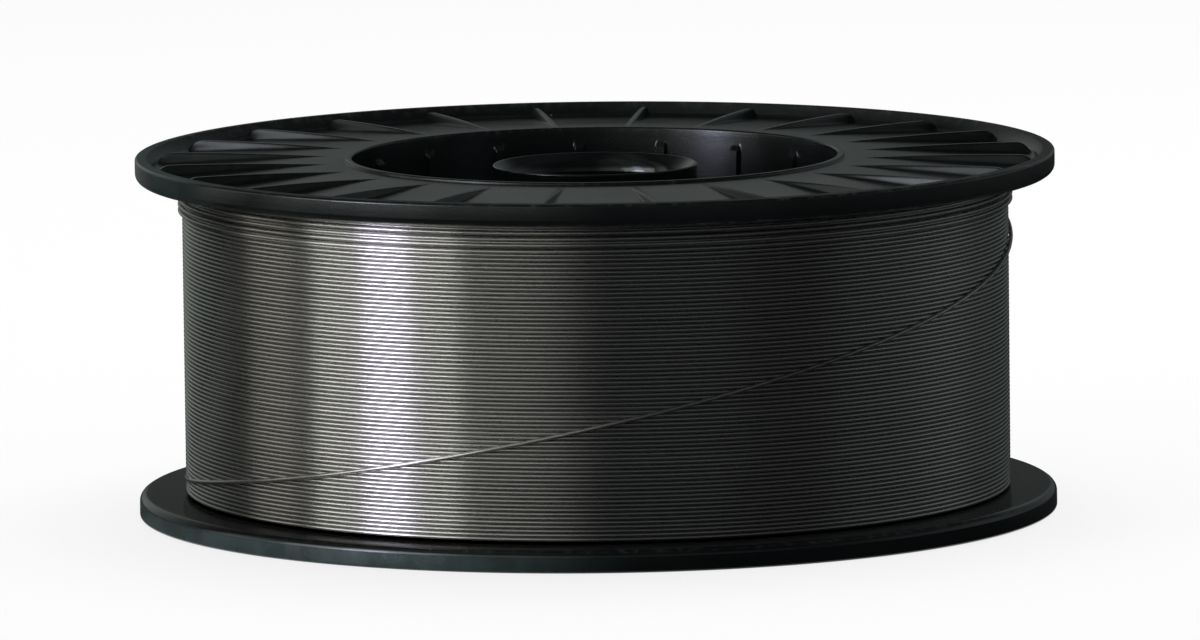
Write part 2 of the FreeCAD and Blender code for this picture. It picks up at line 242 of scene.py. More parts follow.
bead_top, bead_end = rim_step - mouth_bead, mouth_radius + bead_width
outline, zones = rounded_outline([
    (mouth_radius, bead_top, mouth_round, 5, "mouth", []),
    (bead_end, bead_top, bead_round, 3, "mouth", []),
    (bead_end + groove_lean, rim_step + groove_depth, groove_round, 2, "mouth", []),
    (bead_end + groove_width, rim_step, groove_edge_round, 2, "mouth", []),
    (panel_start, rim_step, panel_round, 8, "panel", between(panel_start, panel_end, panel_rows)),
    (panel_end, panel_sink, hollow_round, 4, "panel", []),
    (rim_inside, 0, rim_foot_round, 3, "rim", []),
    (flange_radius, rim_land_fall, rim_round, 6, "rim", []),
    (flange_radius, draft_start, draft_round, 1, "rim", []),
    (flange_radius - rim_draft, rim_face, back_round, 8, "rim", []),
    (rim_inside, rim_face, lip_round, 2, "rim", [0.5]),
    (flange_radius - flare_width, face_height, face_round, 2, "face", [0.1]),
    (barrel_radius, face_height, barrel_foot_round, 2, "back", [0.5]),
    (barrel_radius, joint_height, joint_round, 1, "back", [0.5]),
    (bore_radius, joint_height, bore_edge_round, 2, "hub", [0.3, 0.7]),
    (bore_radius, hub_sink + lead_in_depth, lead_in_round, 4, "hub", []),
    (bore_radius + lead_in, hub_sink, lead_in_edge_round, 3, "hub", []),
    (hub_radius, hub_sink, hub_round, 5, "hub", between(hub_sink, web_face, hub_rows)),
    (hub_radius, web_face, web_round, 3, "web", between(hub_radius, barrel_inside, web_rows)),
    (barrel_inside, web_face, web_round, 3, "barrel", between(web_face, bead_top, barrel_rows)),
])
section_r, section_z = outline[:, :1], outline[:, 1:]
print("section points", len(outline))

# %% [markdown]
# ## Columns that crowd where ribs stand
# The flange has 24 thin ribs outside, the barrel wall 18 short latches inside, and 9 spokes stiffen the
# web between barrel and hub. A rib is only 2 mm wide, so evenly spaced columns would need thousands to
# show its rounded edges. Instead each column gets a sideways distance from the nearest feature, close
# together at its flanks and wide apart between: 648 columns are 27 for each rib and 36 for each latch.

# %% Sizes of ribs, latches and spokes
columns = 648
rib_width, rib_edge, rib_turn, rib_count = 2.0, 0.36, 6.95, 24
rib_lead, rib_swell, rib_end, rib_rise, rib_end_round = 2.0, 3.0, panel_end + 0.2, 1.0, 4.0
rib_arch = 0.62 * math.pi
latch_width, latch_edge, latch_proud, latch_turn, latch_count = 3.0, 0.3, 1.4, 6.3, 18
latch_start, latch_taper, latch_web_end = 5.4, 1.4, mouth_radius - 1.2
spoke_width, spoke_edge = 2.2, 0.25
spoke_hub_height, spoke_wall_height, spoke_wall_start = 10.0, 6.0, 12.0
spoke_end, spoke_blend = 67.0, 11.0
rib_middle, latch_middle = 13, 11
flank_shares = np.array([-0.55, -0.2, 0.15, 0.5, 1.0])

column = np.arange(columns)[None, :]


# %% Place the columns
def crowded(count, middle, half_width, edge, extra_steps):
    """For each column, the number of its nearest feature and a function of radius for its sideways place.

    The columns next to a feature's middle line stand at its flanks, and the rest share the gap evenly."""
    each = columns // count
    offset = (column - middle + each / 2) % each - each / 2
    number = (column - middle - offset) / each
    inner = np.linspace(0, half_width - edge, extra_steps + 1)
    stops = np.concatenate([inner, half_width + edge * flank_shares, [half_width + 2 * edge]])

    def sideways(r):
        """Arc length from the feature's middle line at radius r, in millimetres."""
        half_gap = r * math.pi / count
        places = np.interp(np.abs(offset), np.arange(len(stops)), stops)
        share = np.clip((np.abs(offset) - len(stops) + 1) / (each / 2 - len(stops) + 1), 0, 1)
        return np.sign(offset) * (places + share * (half_gap - stops[-1]))

    return number, sideways


rib_number, rib_sideways = crowded(rib_count, rib_middle, rib_width / 2, rib_edge, 2)
latch_number, latch_sideways = crowded(latch_count, latch_middle, latch_width / 2, latch_edge, 3)
_, spoke_sideways = crowded(latch_count, latch_middle, spoke_width / 2, spoke_edge, 3)
spoke_here = latch_number % 2 == 1

# %% [markdown]
# A row near the ribs takes its columns' angles from the ribs, a row inside the barrel takes them from the
# latches, and the ring between the two takes something of both, so that the columns run smoothly over.

# %% An angle for each point
near_ribs = np.isin(zones, ["panel", "rim", "face"]).astype(float)[:, None]
near_ribs[np.flatnonzero(zones == "mouth")[-1]] = 0.4
near_hub = np.clip((spoke_end - section_r) / spoke_blend, 0, 1)
near_spokes = np.where(np.isin(zones, ["web", "hub"])[:, None], near_hub, 0.0)

from_rib = rib_sideways(section_r)
from_latch = latch_sideways(section_r) * (1 - near_spokes) + spoke_sideways(section_r) * near_spokes
rib_angle = math.radians(rib_turn) + rib_number * 2 * math.pi / rib_count + from_rib / section_r
latch_angle = math.radians(latch_turn) + latch_number * 2 * math.pi / latch_count + from_latch / section_r
angle = rib_angle * near_ribs + latch_angle * (1 - near_ribs)
print("columns", columns, "smallest step in degrees", round(math.degrees(float(np.diff(angle).min())), 4))


# %% [markdown]
# ## Ribs, latches and spokes as relief
# A rib with its flanks and rounded edges is a height over the panel that depends on the sideways distance
# alone, so it can be added to the grid as it is, with no cutting or joining. It starts at the ring, its
# top arches while the panel sinks away below it, and it ends in a rounded drop at the foot of the rim's
# slope. The latches push the barrel wall inwards, and the spokes lift the web's rows.

# %% Raise the ribs
def fade(value, low, high):
    """0 up to low, 1 from high on, and a smooth S between them."""
    share = np.clip((value - low) / (high - low), 0, 1)
    return share * share * (3 - 2 * share)


def ridge(sideways, width, edge):
    """1 on a ridge's top, 0 beside it, and a rounded flank of twice the edge between."""
    return fade(-np.abs(sideways), -width / 2 - edge, -width / 2 + edge)


shape_r = section_r + np.zeros_like(angle)
shape_z = section_z + np.zeros_like(angle)
in_zone = {zone: (zones == zone)[:, None] for zone in np.unique(zones)}

rib_start = ring_radius + rib_lead
rib_share = np.clip((section_r - rib_start) / (rib_end - rib_start), 0, 1)
rib_top = rim_step - rib_rise * np.sin(rib_share * rib_arch)
rib_height = (section_z - rib_top) * fade(section_r, ring_radius + 1, rib_start + rib_swell)
rib_drop = np.clip((section_r - rib_end + rib_end_round) / rib_end_round, 0, 1)
rib_height = np.maximum(rib_height, 0) * np.sqrt(1 - rib_drop ** 2) * in_zone["panel"]
on_rib = ridge(from_rib, rib_width, rib_edge)
shape_z -= rib_height * on_rib
print("highest rib", round(float(rib_height.max()), 2), "mm over the panel")

# %% Raise the latches and spokes
latch_relief = latch_proud * ridge(from_latch, latch_width, latch_edge)
latch_relief *= np.clip((section_z - latch_start) / latch_taper, 0, 1)
latch_on_web = in_zone["web"] * fade(section_r, spoke_end, latch_web_end)
shape_r -= latch_relief * np.where(in_zone["barrel"], 1, latch_on_web)

along_web = np.clip((section_r - hub_radius) / (mouth_radius - hub_radius), 0, 1)
spoke_height = spoke_hub_height + (spoke_wall_height - spoke_hub_height) * along_web
spoke_relief = spoke_height * ridge(from_latch, spoke_width, spoke_edge) * spoke_here
wall_start = np.where(in_zone["barrel"], spoke_wall_start, hub_sink + hub_round)
wall_share = np.clip((section_z - wall_start) / (web_face - web_round - wall_start), 0, 1)
on_wall = in_zone["barrel"] | (in_zone["hub"] & (section_r > hub_radius - 0.01))
shape_z -= spoke_relief * np.where(on_wall, wall_share, in_zone["web"])

moulding_quads = grid_quads(len(outline), columns, close_rows=True)
moulding = make_mesh("spool_half_lower", round_axis(shape_r, angle, shape_z), moulding_quads)
print("moulding triangles", triangles_of(moulding))

# %% [markdown]
# ## Where the mould wears, and where it gets painted highlights
# How a black moulding shines changes from place to place, and the change follows its shape, so it is
# worked out here from the same section and kept as three numbers at each point. Rub and highlight is the
# pale colour on proud edges: the rim's roundings, the mouth's bead and the tops of the ribs. It is partly
# real wear and partly a painted highlight where those edges catch the light. Polish makes a face glossier,
# as on the rim's outside and the hub, and below zero it makes one duller, as on the rim's narrow land, the
# barrel's wall and the ribs' flanks. Dull blends a plain matt shader into the flange's inner face.

# %% Keep the wear and the painted highlights
pale_edge_land, pale_edge_corner, proud_rib = 0.8, 0.7, 0.4
land_polish, flank_polish, matt_face_share = -2.0, -1.2, 0.55
edge_rows = in_zone["rim"] & ((section_z < pale_edge_land) | (np.abs(section_z - rim_face) < pale_edge_corner))
# Pale proud edges: partly real wear and partly a painted highlight on the edges that catch the light.
rub = edge_rows + in_zone["mouth"] * (section_z < rim_step) * 0.8 + np.zeros_like(angle)
rub = np.maximum(rub, np.where(rib_height > proud_rib, on_rib * 0.5, 0))

polish = sum(in_zone[zone] * amount for zone, amount in (
    ("hub", 0.85), ("barrel", -0.2), ("face", 0.6), ("rim", 0.5),
))
on_land = in_zone["rim"] & (section_z < 1) & (section_r < flange_radius - rim_round * 0.8)
polish = np.where(on_land, land_polish, polish) + np.zeros_like(angle)
polish += np.where(rib_height > proud_rib, 4 * on_rib * (1 - on_rib), 0) * flank_polish

in_face_heights = (section_z > face_height - 0.1) & (section_z < rim_face + 0.1)
on_face = in_face_heights & (section_r > barrel_radius + 1) & (section_r < flange_radius - back_round + 0.1)
dull = on_face * matt_face_share + np.zeros_like(angle)
for name, values in (("rub", rub), ("polish", polish), ("dull", dull)):
    keep_numbers(moulding, name, values)
    print(name, "from", round(float(values.min()), 2), "to", round(float(values.max()), 2))


# %% [markdown]
# ## The driving hole and the wire's eye
# Beside the bore stands a boss with the hole that the machine's driving pin enters, and the flange has a
# small hole through which the wire's end is tucked. Holes and a boss that cross a ready surface are what
# Blender's Boolean is for, so plain turned tools join and cut here. One half is finished, then copied.

# %% Turned tools
def turned(name, profile, centre, steps=64):
    """A profile of (radius, height) pairs turned round an upright axis through centre, with flat ends."""
    profile = np.array(profile, dtype=float)
    turn = np.linspace(0, 2 * math.pi, steps, endpoint=False)
    points = round_axis(profile[:, :1], turn, profile[:, 1:]) + [*centre, 0]
    last = (len(profile) - 1) * steps
    rings = [np.arange(steps)[::-1], last + np.arange(steps)]
    return make_mesh(name, points, grid_quads(len(profile), steps), rings)


def cut_or_join(piece, tool, operation):
    """Applies a Boolean with the tool and removes the tool."""
    boolean = piece.modifiers.new("boolean", "BOOLEAN")
    boolean.operation = operation
    boolean.solver = "EXACT"
    boolean.object = tool
    bpy.context.view_layer.update()
    result = bpy.data.meshes.new_from_object(piece.evaluated_get(bpy.context.evaluated_depsgraph_get()))
    piece.modifiers.clear()
    old = piece.data
    piece.data = result
    bpy.data.meshes.remove(old)
    bpy.data.objects.remove(tool)


# %% Boss, driving hole and eye
wire_radius = 0.6
drive_centre = (44.5, 0.0)
boss_wall, boss_top = 3.0, 15.0
boss_radius = drive_radius + boss_wall
eye_turn, eye_place, eye_radius = math.radians(165), last_layer_radius - wire_radius, 1.5
eye_centre = (eye_place * math.cos(eye_turn), eye_place * math.sin(eye_turn))
boss = turned("boss", [
    (boss_radius - 0.7, boss_top), (boss_radius - 0.2, boss_top + 0.2), (boss_radius, boss_top + 0.7),
    (boss_radius, web_face + 1.5),
], drive_centre)
drill = turned("drill", [
    (drive_radius + 0.9, boss_top - 0.4), (drive_radius, boss_top + 0.5), (drive_radius, joint_height + 1),
], drive_centre)
needle = turned("needle", [(eye_radius, -1), (eye_radius, face_height + 3)], eye_centre, 32)
cut_or_join(moulding, boss, "UNION")
cut_or_join(moulding, drill, "DIFFERENCE")
cut_or_join(moulding, needle, "DIFFERENCE")
moulding.data.set_sharp_from_angle(angle=math.radians(42))
print("finished half, triangles", triangles_of(moulding))

# %% The second half, turned over
other_half = moulding.copy()
other_half.name = "spool_half_upper"
other_half.data = moulding.data.copy()
turned_over = Matrix.Translation((0, 0, overall_width * MM)) @ Matrix.Rotation(math.pi, 4, "X")
other_half.data.transform(turned_over)
bpy.context.scene.collection.objects.link(other_half)
print("second half, triangles", triangles_of(other_half))

# %% [markdown]
# ## The wound layer
# More than a kilometre and a half of wire lies on the spool, but only the outer layer shows: about 75
# turns side by side. A striped bump could draw them, yet their outline, their grooves and the way each
# one bends the light come only from round wire. So a round section is carried along a real helix, and
# its points crowd on the side that shows. Wound wire is never quite even, so its path wavers by a few
# thousandths of a millimetre. Three bands of turns keep each piece small enough, and a turned core
# stands for the layers underneath.

# %% A path that wavers
seed = np.random.default_rng(20)


def bell_curve(reach, width):
    """A bell curve of that width, sampled at each whole step up to reach on both sides."""
    return np.exp(-0.5 * (np.arange(-reach, reach + 1) / width) ** 2)


def wavering(count, length, size):
    """Smooth random numbers: plain noise averaged over a bell curve of that length, scaled to that size."""
    rough = np.convolve(seed.normal(size=count + 6 * length), bell_curve(3 * length, length), mode="valid")
    return rough / rough.std() * size


# %% Carry a wire along a path
half_section = np.radians([20, 40, 62, 88, 125])
around = np.concatenate([[0], half_section, [math.pi], 2 * math.pi - half_section[::-1]])


def wire_along(name, path, start_length=0.0):
    """A round section carried along path, with flat ends.

    At each place the section's two axes are the outward direction from the spool's axis, made square to
    the path, and their cross product. UV is the length along the wire and round it, in metres."""
    ahead = np.gradient(path, axis=0)
    ahead /= np.linalg.norm(ahead, axis=1, keepdims=True)
    outward = path * [1, 1, 0]
    outward /= np.linalg.norm(outward, axis=1, keepdims=True)
    outward -= (outward * ahead).sum(1, keepdims=True) * ahead
    outward /= np.linalg.norm(outward, axis=1, keepdims=True)
    across = np.cross(ahead, outward)
    cosines, sines = np.cos(around)[None, :, None], np.sin(around)[None, :, None]
    points = path[:, None] + wire_radius * (cosines * outward[:, None] + sines * across[:, None])
    step_lengths = np.linalg.norm(np.diff(path, axis=0), axis=1)
    travelled = np.concatenate([[0], np.cumsum(step_lengths)]) + start_length
    uv = np.stack(np.broadcast_arrays(travelled[:, None], around[None] * wire_radius), axis=-1) * MM
    last = (len(path) - 1) * len(around)
    rings = [np.arange(len(around))[::-1], last + np.arange(len(around))]
    piece = make_mesh(name, points, grid_quads(len(path), len(around)), rings, uv.reshape(-1, 2))
    return piece, float(travelled[-1])


# %% Wind the outer layer
wire_pitch, steps_per_turn, leave_angle = 1.22, 240, 75
proud_radius = last_layer_radius - wire_radius
layer_radius = proud_radius - 2 * wire_radius
low_turn, high_turn = pack_bottom + wire_radius, pack_top - wire_radius
turns = (high_turn - low_turn) / wire_pitch
steps = int(round(turns * steps_per_turn))
progress = np.arange(steps + 1) / steps_per_turn
winding = math.radians(leave_angle) + 2 * math.pi * (turns - progress)
distance_out = layer_radius + wavering(steps + 1, 4, 0.001) + wavering(steps + 1, 14, 0.004)
height = low_turn + progress * wire_pitch + wavering(steps + 1, 12, 0.006)
layer_path = round_axis(distance_out, winding, height)
band_ends = np.linspace(0, steps, 4).astype(int)
wire_bands, wound = [], 0.0
for number, (first, last) in enumerate(zip(band_ends[:-1], band_ends[1:]), start=1):
    band, wound = wire_along(f"wire_turns_{number}", layer_path[first:last + 1], wound)
    keep_numbers(band, "wound", np.ones(len(band.data.vertices)))
    wire_bands.append(band)
print("turns", round(turns, 1), "triangles a band", [triangles_of(band) for band in wire_bands])

# %% The layers underneath
core_steps, core_gap, core_depth = 240, 0.2, 0.15
core_inside, core_outside = barrel_radius + core_gap, layer_radius - core_depth
core_section = np.array([
    (core_inside, pack_bottom), (core_outside, pack_bottom),
    (core_outside, pack_top), (core_inside, pack_top),
])
core_turn = np.linspace(0, 2 * math.pi, core_steps, endpoint=False)
core_points = round_axis(core_section[:, :1], core_turn, core_section[:, 1:])
core = make_mesh("wire_core", core_points, grid_quads(len(core_section), core_steps, close_rows=True))
core.data.set_sharp_from_angle(angle=math.radians(40))
print("core triangles", triangles_of(core))

# %% [markdown]
# ## The last turns and the wire's free run
# The top layer was left unfinished: five turns lie proud under the upper flange, then the wire slants
# down across the coil, on top of the turns, and dives through the eye in the lower flange. It is one
# wire, so it is one piece: its height is a smooth curve over the angle travelled, and a small quarter
# bend leads it down into the eye. The run's heights are listed as shares of the coil's own height.

# %% How high the last wire runs
last_turns, end_angle, run_step = 5, -194, 1.5
run_angles = np.array([
    leave_angle, 55, 35, 20, 5, -10, -25, -40, -55, -70, -85, -100, -115, -130, -145, -160, -175, -185,
    end_angle,
])
run_shares = np.array([
    0.922, 0.92, 0.915, 0.896, 0.842, 0.772, 0.697, 0.622, 0.545, 0.464, 0.382, 0.304, 0.23, 0.164, 0.11,
    0.064, 0.027, 0.013, 0.003,
])
run_heights = run_low + wire_radius + run_shares * (run_high - run_low - 2 * wire_radius)
start_angle = leave_angle + 360 * last_turns
degrees = np.arange(start_angle, end_angle, -run_step)
knot_angles = np.concatenate([run_angles[::-1], [start_angle]])
knot_heights = np.concatenate([run_heights[::-1], [high_turn]])
smooth_reach, smooth_width = 8, 3.2
wide_degrees = np.pad(degrees, smooth_reach, mode="reflect", reflect_type="odd")
raw_height = np.interp(wide_degrees, knot_angles, knot_heights)
bell = bell_curve(smooth_reach, smooth_width)
run_height = np.convolve(raw_height, bell / bell.sum(), mode="valid")
print("last wire from", round(float(run_height[0]), 1), "down to", round(float(run_height[-1]), 1), "mm")

# %% [markdown]
# Seen from above, the wire climbs out of the layer as its proud turns begin, lies on the layer below all
# the way round, and draws in a little where it nears the eye.

# %% The last wire
bend_radius, climb, climb_turn, draw_in = 2.2, 1.0, 14, 0.7
run_out = proud_radius - climb * fade(degrees, start_angle - climb_turn, start_angle)
run_out -= draw_in * fade(-degrees, 135, 165) * fade(degrees, end_angle + 1, -180)
run_out = run_out + wavering(len(degrees), 6, 0.006)
run_path = round_axis(run_out, np.radians(degrees), run_height)
into_eye = np.array([math.sin(eye_turn), -math.cos(eye_turn)])
bend = np.linspace(0, math.pi / 2, 9)[:, None]
bend_path = np.concatenate([
    np.array(eye_centre) - into_eye * bend_radius * (1 - np.sin(bend)),
    run_height[-1] - bend_radius * (1 - np.cos(bend)),
], axis=1)
drop_path = np.array([[*eye_centre, drop_height] for drop_height in (5.6, 4.0, 2.4)])
run_kept = run_path[np.linalg.norm(run_path[:, :2] - bend_path[0, :2], axis=1) > 2 * wire_radius]
last_wire, last_length = wire_along("wire_last_run", np.concatenate([run_kept, bend_path, drop_path]))
print("last wire", round(last_length / 1000, 2), "m, triangles", triangles_of(last_wire))

# %% [markdown]
# ## Who stands for what
# Every new piece takes over from a solid of the frame and moves with its body.

# %% Tie the pieces to the frame
for piece, node, slot in (
    (moulding, "spool_lower_half", "spool_plastic"),
    (other_half, "spool_upper_half", "spool_plastic"),
    (core, "wire_coil", "steel_wire"),
    *((band, "wire_coil", "steel_wire") for band in wire_bands),
    (last_wire, "wire_end", "steel_wire"),
):
    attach(piece, "root")
    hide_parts(node)
    print(piece.name, "stands for", node)


# %% [markdown]
# ## Helpers for materials
# A material is a small net of nodes. A few helpers keep the nets readable: each adds one node, plugs its
# inputs with numbers or with other nodes' outputs, and hands back the output that is wanted.

# %% Node helpers
def plug(tree, socket, value):
    """Links another node's output to the socket, or writes the number or colour into it."""
    if isinstance(value, bpy.types.NodeSocket):
        tree.links.new(value, socket)
    else:
        socket.default_value = value


def add_node(tree, kind, inputs=None, **settings):
    """Adds a node, sets its properties, and fills its inputs."""
    node = tree.nodes.new(kind)
    for name, value in settings.items():
        setattr(node, name, value)
    for name, value in (inputs or {}).items():
        plug(tree, node.inputs[name], value)
    return node


def new_material(name):
    """An empty material: itself, its tree and its output node."""
    material = bpy.data.materials.new(name)
    material.use_nodes = True
    tree = material.node_tree
    tree.nodes.clear()
    return material, tree, tree.nodes.new("ShaderNodeOutputMaterial")


def dress(piece, material):
    """Gives the piece this material alone."""
    piece.data.materials.clear()
    piece.data.materials.append(material)


# %% Helpers for numbers and colours
def noise(tree, vector, scale, detail=3.0, roughness=0.5):
    """Noise between 0 and 1 with a mean of about a half."""
    inputs = {"Vector": vector, "Scale": scale, "Detail": detail, "Roughness": roughness}
    return add_node(tree, "ShaderNodeTexNoise", inputs).outputs["Fac"]


def read_numbers(tree, name):
    """The numbers that keep_numbers stored at the mesh's points."""
    return add_node(tree, "ShaderNodeAttribute", attribute_name=name).outputs["Fac"]


def ranged(tree, value, from_low, from_high, to_low, to_high, smooth=False):
    """The value carried from one range to another, kept inside it."""
    node = add_node(tree, "ShaderNodeMapRange", {
        "Value": value, "From Min": from_low, "From Max": from_high, "To Min": to_low, "To Max": to_high,
    }, interpolation_type="SMOOTHSTEP" if smooth else "LINEAR")
    return node.outputs["Result"]


def maths(tree, operation, first, second=0.0):
    """One step of arithmetic on two numbers."""
    return add_node(tree, "ShaderNodeMath", {0: first, 1: second}, operation=operation).outputs["Value"]


def mixed(tree, factor, first, second):
    """A colour between two colours."""
    node = add_node(tree, "ShaderNodeMix", data_type="RGBA")
    for socket, value in zip((node.inputs[0], node.inputs[6], node.inputs[7]), (factor, first, second)):
        plug(tree, socket, value)
    return node.outputs[2]


def blended(tree, factor, first, second, output):
    """Plugs a blend of two shaders into the material's output."""
    blend = add_node(tree, "ShaderNodeMixShader", {0: factor, 1: first.outputs[0], 2: second.outputs[0]})
    tree.links.new(blend.outputs[0], output.inputs["Surface"])


# %% Helpers for places and directions
def vectors(tree, operation, first, second=None, result="Vector"):
    """One step of arithmetic on vectors; a length or a dot product comes out as its Value."""
    inputs = {0: first} if second is None else {0: first, 1: second}
    return add_node(tree, "ShaderNodeVectorMath", inputs, operation=operation).outputs[result]


def scaled(tree, vector, factor):
    """A vector or a colour times a number."""
    node = add_node(tree, "ShaderNodeVectorMath", {0: vector, "Scale": factor}, operation="SCALE")
    return node.outputs["Vector"]


def stretched(tree, vector, scale):
    """A pattern's place with its axes stretched one by one."""
    return add_node(tree, "ShaderNodeMapping", {"Vector": vector, "Scale": scale}).outputs["Vector"]


def height_of(tree, vector):
    """The third number of a vector."""
    return add_node(tree, "ShaderNodeSeparateXYZ", {0: vector}).outputs["Z"]


def from_axis(tree, place):
    """A place's level direction from the spool's axis, and its distance from the axis."""
    level = vectors(tree, "MULTIPLY", place, (1, 1, 0))
    return vectors(tree, "NORMALIZE", level), vectors(tree, "LENGTH", level, result="Value")


def near_azimuth(tree, level_way, azimuth, inner, outer, level):
    """level within the angle inner of an azimuth and 0 past outer; 0 is the camera's side, -90 the left.

    The cosine of the angle between two directions is their dot product, so it is faded between the
    cosines of outer and inner."""
    turn = math.radians(azimuth)
    facing = vectors(tree, "DOT_PRODUCT", level_way, (math.sin(turn), -math.cos(turn), 0), "Value")
    low, high = math.cos(math.radians(outer)), math.cos(math.radians(inner))
    return ranged(tree, facing, low, high, 0.0, level, smooth=True)


# %% [markdown]
# ## Black moulded plastic
# The spool is recycled black plastic: nearly black, satin, with the fine grain of the mould's steel, soft
# clouds where it cooled unevenly, a paler rub on proud edges that is partly a painted highlight, a few pale
# specks, and a film of dust where hands and air leave one, partly painted light as well. Grain and flow
# are bump. Clouds vary the base colour and the roughness. The dust and painted light are bluish, thick on
# the front left of the lower rim and thin on the left of the upper one, each a soft patch round one
# azimuth and past one height.

# %% Grain, clouds and specks
plastic, tree, output = new_material("black_moulded_plastic")
place = add_node(tree, "ShaderNodeTexCoord").outputs["Object"]
clouds = noise(tree, place, 28.0, 3.0)
grain = noise(tree, place, 1900.0, 2.0, 0.6)
flow = noise(tree, place, 260.0, 3.0)
rub_and_highlight_patches = ranged(tree, noise(tree, place, 420.0, 4.0, 0.65), 0.5, 0.72, 0.0, 1.0)
rub_and_highlight_here = maths(tree, "MULTIPLY", read_numbers(tree, "rub"), rub_and_highlight_patches)
specks = add_node(tree, "ShaderNodeTexVoronoi", {"Vector": place, "Scale": 150.0, "Randomness": 1.0})
speck = maths(tree, "MULTIPLY", ranged(tree, specks.outputs["Distance"], 0.035, 0.06, 1.0, 0.0),
              ranged(tree, noise(tree, place, 45.0, 2.0), 0.56, 0.62, 0.0, 1.0))
relief = maths(tree, "ADD", grain, maths(tree, "MULTIPLY", flow, 0.8))
bump = add_node(tree, "ShaderNodeBump", {"Strength": 0.35, "Distance": 0.00006, "Height": relief})

# %% Dust and painted light on the rims
place_way, reach = from_axis(tree, place)
place_height = height_of(tree, place)


def dust_and_light_patch(azimuth, inner, outer, strength, from_height, to_height):
    """Dust and painted light round one azimuth of the flange, fading in between two heights."""
    patch = near_azimuth(tree, place_way, azimuth, inner, outer, strength)
    return maths(tree, "MULTIPLY", patch, ranged(tree, place_height, from_height, to_height, 0.0, 1.0))


# Pale bluish patches on the left of both rims: partly real dust and partly painted light on the lamp's side.
dust_and_light = maths(tree, "ADD", dust_and_light_patch(-54, 22, 61, 1.0, 0.0055, 0.0044), dust_and_light_patch(-80, 10, 30, 0.4, 0.08, 0.09))
dust_and_light = maths(tree, "MULTIPLY", dust_and_light, ranged(tree, reach, 0.127, 0.1335, 0.0, 1.0, smooth=True))
unevenness = ranged(tree, noise(tree, place, 75.0, 5.0, 0.6), 0.3, 0.7, 0.6, 1.0, smooth=True)
dust_and_light_film = maths(tree, "MULTIPLY", dust_and_light, unevenness)

# %% Colour of the plastic
black, soft_black = (0.0028, 0.0034, 0.0038, 1), (0.004, 0.0046, 0.005, 1)
dust_and_light_colour, rub_and_highlight_colour = (0.056, 0.088, 0.09, 1), (0.035, 0.037, 0.037, 1)
speck_colour = (0.11, 0.11, 0.105, 1)
base = mixed(tree, ranged(tree, clouds, 0.35, 0.65, 0.0, 1.0), black, soft_black)
# Dust and painted light: the pale bluish patches on the left of the rims.
base = mixed(tree, maths(tree, "MULTIPLY", dust_and_light_film, 0.8), base, dust_and_light_colour)
# Pale rub on proud edges, partly real wear and partly a painted highlight.
base = mixed(tree, maths(tree, "MULTIPLY", rub_and_highlight_here, 0.55), base, rub_and_highlight_colour)
base = mixed(tree, maths(tree, "MULTIPLY", speck, 0.6), base, speck_colour)

# %% [markdown]
# The gloss of this plastic isn't white: small clouds in the Specular Tint turn it a little green. Polish
# lowers the roughness and dust raises it. On the flange's inner face part of the gloss is taken away
# altogether: a plain matt shader, which the number dull blends in.

# %% Gloss of the plastic
satin = ranged(tree, clouds, 0.3, 0.7, 0.19, 0.24)
smoother = maths(tree, "MULTIPLY", read_numbers(tree, "polish"), 0.12)
rougher = maths(tree, "MULTIPLY", dust_and_light_film, 0.15)
roughness = maths(tree, "ADD", maths(tree, "SUBTRACT", satin, smoother), rougher)
sheen_clouds = ranged(tree, noise(tree, place, 300.0, 4.0, 0.6), 0.32, 0.68, 0.0, 1.0)
sheen = mixed(tree, sheen_clouds, (0.78, 0.86, 0.85, 1), (0.9, 1.0, 1.0, 1))
shine = add_node(tree, "ShaderNodeBsdfPrincipled", {
    "Base Color": base, "Roughness": roughness, "IOR": 1.5, "Specular Tint": sheen,
    "Normal": bump.outputs["Normal"],
})
matt_face_shader = add_node(tree, "ShaderNodeBsdfDiffuse", {"Color": (0.013, 0.0135, 0.013, 1)})
blended(tree, read_numbers(tree, "dull"), shine, matt_face_shader, output)
for piece in (moulding, other_half):
    dress(piece, plastic)
print("plastic nodes", len(tree.nodes))

# %% [markdown]
# ## Drawn steel wire
# Welding wire is drawn through dies, which leaves a bright surface with fine lines along its length.
# Its highlight therefore stretches across the wire. The material follows the wire's own UV map, in
# metres: streaks long in u and narrow in v, slow changes of tone from turn to turn, and anisotropy with
# its tangent along the wire. The grooves between the wound turns get painted shade, where a clean wire
# would light up with its neighbours' reflections: the wound turns darken away from their outer side.

# %% Tone of the steel
steel, tree, output = new_material("drawn_steel_wire")
along = add_node(tree, "ShaderNodeUVMap", uv_map="UVMap").outputs["UV"]
streaks = noise(tree, stretched(tree, along, (9.0, 2600.0, 1.0)), 1.0, 3.0, 0.6)
slow = noise(tree, stretched(tree, along, (1.6, 60.0, 1.0)), 1.0, 2.0)
patches = noise(tree, stretched(tree, along, (40.0, 500.0, 1.0)), 1.0, 3.0)
dark_steel, bright_steel, streak_colour = (0.44, 0.44, 0.42, 1), (0.56, 0.56, 0.54, 1), (0.26, 0.255, 0.24, 1)
groove_shade_colour = (0.06, 0.06, 0.056, 1)
tone = mixed(tree, ranged(tree, slow, 0.3, 0.7, 0.0, 1.0), dark_steel, bright_steel)
tone = mixed(tree, ranged(tree, streaks, 0.5, 0.8, 0.0, 0.2), tone, streak_colour)
round_wire = add_node(tree, "ShaderNodeSeparateXYZ", {0: along}).outputs["Y"]
outwardness = maths(tree, "COSINE", maths(tree, "DIVIDE", round_wire, wire_radius * MM))
# Painted shade in the grooves between wound turns: the colour darkens away from the wire's outer side.
painted_groove_shade = ranged(tree, outwardness, 0.05, 0.75, 0.75, 0.0)
tone = mixed(tree, maths(tree, "MULTIPLY", painted_groove_shade, read_numbers(tree, "wound")), tone, groove_shade_colour)

